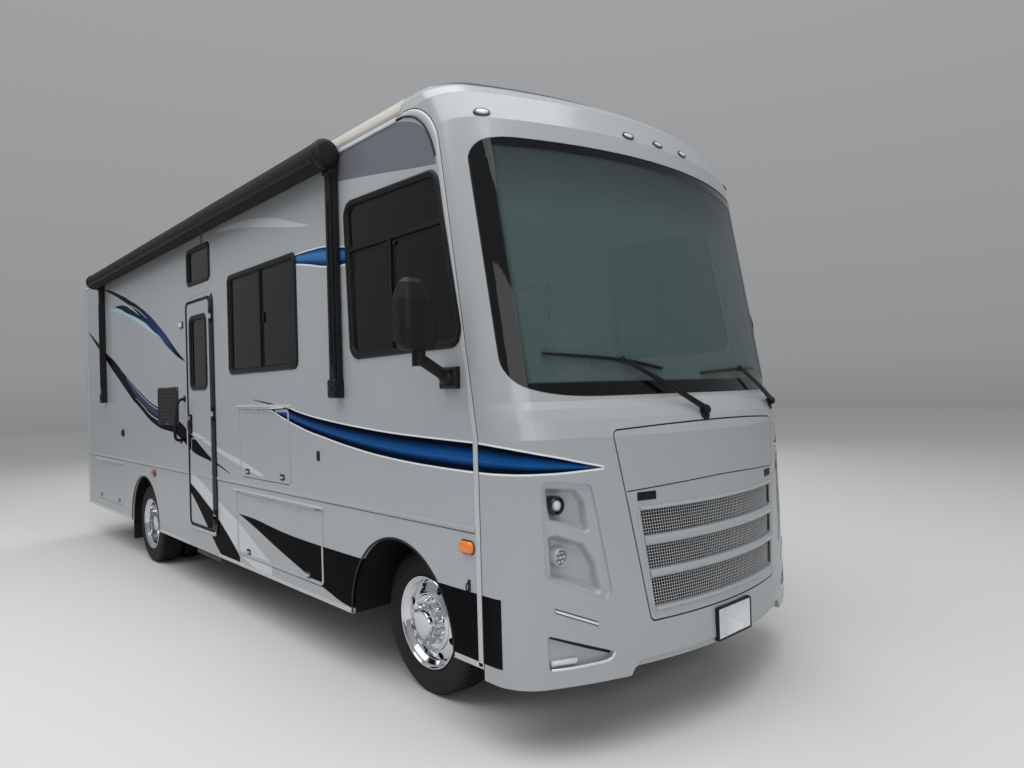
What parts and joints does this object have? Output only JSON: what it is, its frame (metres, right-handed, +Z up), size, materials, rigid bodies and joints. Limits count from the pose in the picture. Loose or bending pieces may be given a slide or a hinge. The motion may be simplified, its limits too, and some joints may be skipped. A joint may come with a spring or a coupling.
{
  "type": "motorhome",
  "caption": "Class A motorhome with a moulded front cap, swinging entry door, lifting storage bay doors, rolled patio awning and twin rear wheels.",
  "frame": {"origin": "on the ground below the middle of the vehicle's length and width", "axes": "+X forward, +Y to the driver's left, +Z up"},
  "size_m": [8.7984, 3.13, 3.6519],
  "materials": {
    "frame_black": "satin",
    "engine_grey": "rough",
    "exhaust_steel": "weathered",
    "tank_black": "matt",
    "axle_black": "satin",
    "floor_grey": "matt",
    "body_silver": "gelcoat",
    "roof_white": "satin",
    "clear_glass": "gloss",
    "smoked_glass": "gloss",
    "mesh_steel": "wire mesh",
    "lamp_clear": "gloss",
    "lamp_amber": "gloss",
    "trim_black": "matt",
    "dash_grey": "matt",
    "seat_leather": "satin",
    "tyre_rubber": "matt",
    "wheel_chrome": "polished"
  },
  "bodies": {
    "vehicle": {"chassis_frame": "frame_black", "engine_block": "engine_grey", "exhaust": "exhaust_steel", "underfloor_tanks": "tank_black", "front_axle": "axle_black", "rear_axle": "axle_black", "floor": "floor_grey", "right_wall": "body_silver", "left_wall": "body_silver", "skirts": "body_silver", "rear_cap": "body_silver", "front_cap": "body_silver", "roof": "roof_white", "windshield": "clear_glass", "window_and_door_frames": "frame_black", "window_glass": "smoked_glass", "headlights": "lamp_clear", "running_lights": "lamp_amber", "wipers": "trim_black", "mirrors": "trim_black", "roof_units": "roof_white", "awning": "trim_black", "dashboard": "dash_grey", "seats": "seat_leather"},
    "right_front_wheel": {"right_front_tyre": "tyre_rubber", "right_front_rim": "wheel_chrome"},
    "left_front_wheel": {"left_front_tyre": "tyre_rubber", "left_front_rim": "wheel_chrome"},
    "right_rear_wheel": {"right_rear_tyres": "tyre_rubber", "right_rear_rims": "wheel_chrome"},
    "left_rear_wheel": {"left_rear_tyres": "tyre_rubber", "left_rear_rims": "wheel_chrome"},
    "right_steering_knuckle": {"right_knuckle": "axle_black"},
    "left_steering_knuckle": {"left_knuckle": "axle_black"},
    "steering": {"steering_wheel": "trim_black"},
    "front_hood": {"hood": "body_silver", "grille_mesh": "mesh_steel"},
    "side_door": {"entry_door": "body_silver", "entry_door_glass": "smoked_glass"},
    "step": {"entry_step": "frame_black"},
    "right_upper_bay_door_leaf": {"right_upper_bay_door": "body_silver"},
    "right_lower_bay_door_leaf": {"right_lower_bay_door": "body_silver"},
    "right_rear_bay_door_leaf": {"right_rear_bay_door": "body_silver"},
    "left_lower_bay_door_leaf": {"left_lower_bay_door": "body_silver"},
    "left_rear_bay_door_leaf": {"left_rear_bay_door": "body_silver"}
  },
  "joints": [
    {"name": "right_steer", "type": "hinge", "parent": "vehicle", "child": "right_steering_knuckle", "pos_m": [3.088, -0.77, 0.405], "axis": [0, 0, 1], "range_deg": [-38, 38]},
    {"name": "left_steer", "type": "hinge", "parent": "vehicle", "child": "left_steering_knuckle", "pos_m": [3.088, 0.77, 0.405], "axis": [0, 0, 1], "range_deg": [-38, 38]},
    {"name": "steering_wheel_turn", "type": "hinge", "parent": "vehicle", "child": "steering", "pos_m": [3.418, 0.48, 1.66], "axis": [-0.5736, 0, 0.8192], "range_deg": [-532, 532]},
    {"name": "right_front_wheel_spin", "type": "hinge", "parent": "right_steering_knuckle", "child": "right_front_wheel", "pos_m": [3.088, -0.94, 0.405], "axis": [0, 1, 0], "continuous": true},
    {"name": "left_front_wheel_spin", "type": "hinge", "parent": "left_steering_knuckle", "child": "left_front_wheel", "pos_m": [3.088, 0.94, 0.405], "axis": [0, 1, 0], "continuous": true},
    {"name": "right_rear_wheel_spin", "type": "hinge", "parent": "vehicle", "child": "right_rear_wheel", "pos_m": [-1.738, -0.9425, 0.405], "axis": [0, 1, 0], "continuous": true},
    {"name": "left_rear_wheel_spin", "type": "hinge", "parent": "vehicle", "child": "left_rear_wheel", "pos_m": [-1.738, 0.9425, 0.405], "axis": [0, 1, 0], "continuous": true},
    {"name": "hood_lift", "type": "hinge", "parent": "vehicle", "child": "front_hood", "pos_m": [4.228, 0, 1.648], "axis": [0, -1, 0], "range_deg": [0, 60]},
    {"name": "entry_door_swing", "type": "hinge", "parent": "vehicle", "child": "side_door", "pos_m": [0.352, -1.253, 1.58], "axis": [0, 0, 1], "range_deg": [0, 110]},
    {"name": "entry_step_slide", "type": "slide", "parent": "vehicle", "child": "step", "axis": [0, -1, 0], "range_m": [0, 0.3]},
    {"name": "right_upper_bay_door_lift", "type": "hinge", "parent": "vehicle", "child": "right_upper_bay_door_leaf", "pos_m": [1.343, -1.243, 1.628], "axis": [-1, 0, 0], "range_deg": [0, 90]},
    {"name": "right_lower_bay_door_lift", "type": "hinge", "parent": "vehicle", "child": "right_lower_bay_door_leaf", "pos_m": [1.518, -1.243, 0.973], "axis": [-1, 0, 0], "range_deg": [0, 90]},
    {"name": "right_rear_bay_door_lift", "type": "hinge", "parent": "vehicle", "child": "right_rear_bay_door_leaf", "pos_m": [-3.207, -1.243, 0.985], "axis": [-1, 0, 0], "range_deg": [0, 90]},
    {"name": "left_lower_bay_door_lift", "type": "hinge", "parent": "vehicle", "child": "left_lower_bay_door_leaf", "pos_m": [1.518, 1.243, 0.973], "axis": [1, 0, 0], "range_deg": [0, 90]},
    {"name": "left_rear_bay_door_lift", "type": "hinge", "parent": "vehicle", "child": "left_rear_bay_door_leaf", "pos_m": [-3.207, 1.243, 0.985], "axis": [1, 0, 0], "range_deg": [0, 90]}
  ],
  "couplings": [
    {"joint": "left_steer", "follows": "right_steer", "ratio": 1},
    {"joint": "steering_wheel_turn", "follows": "right_steer", "ratio": 14}
  ]
}
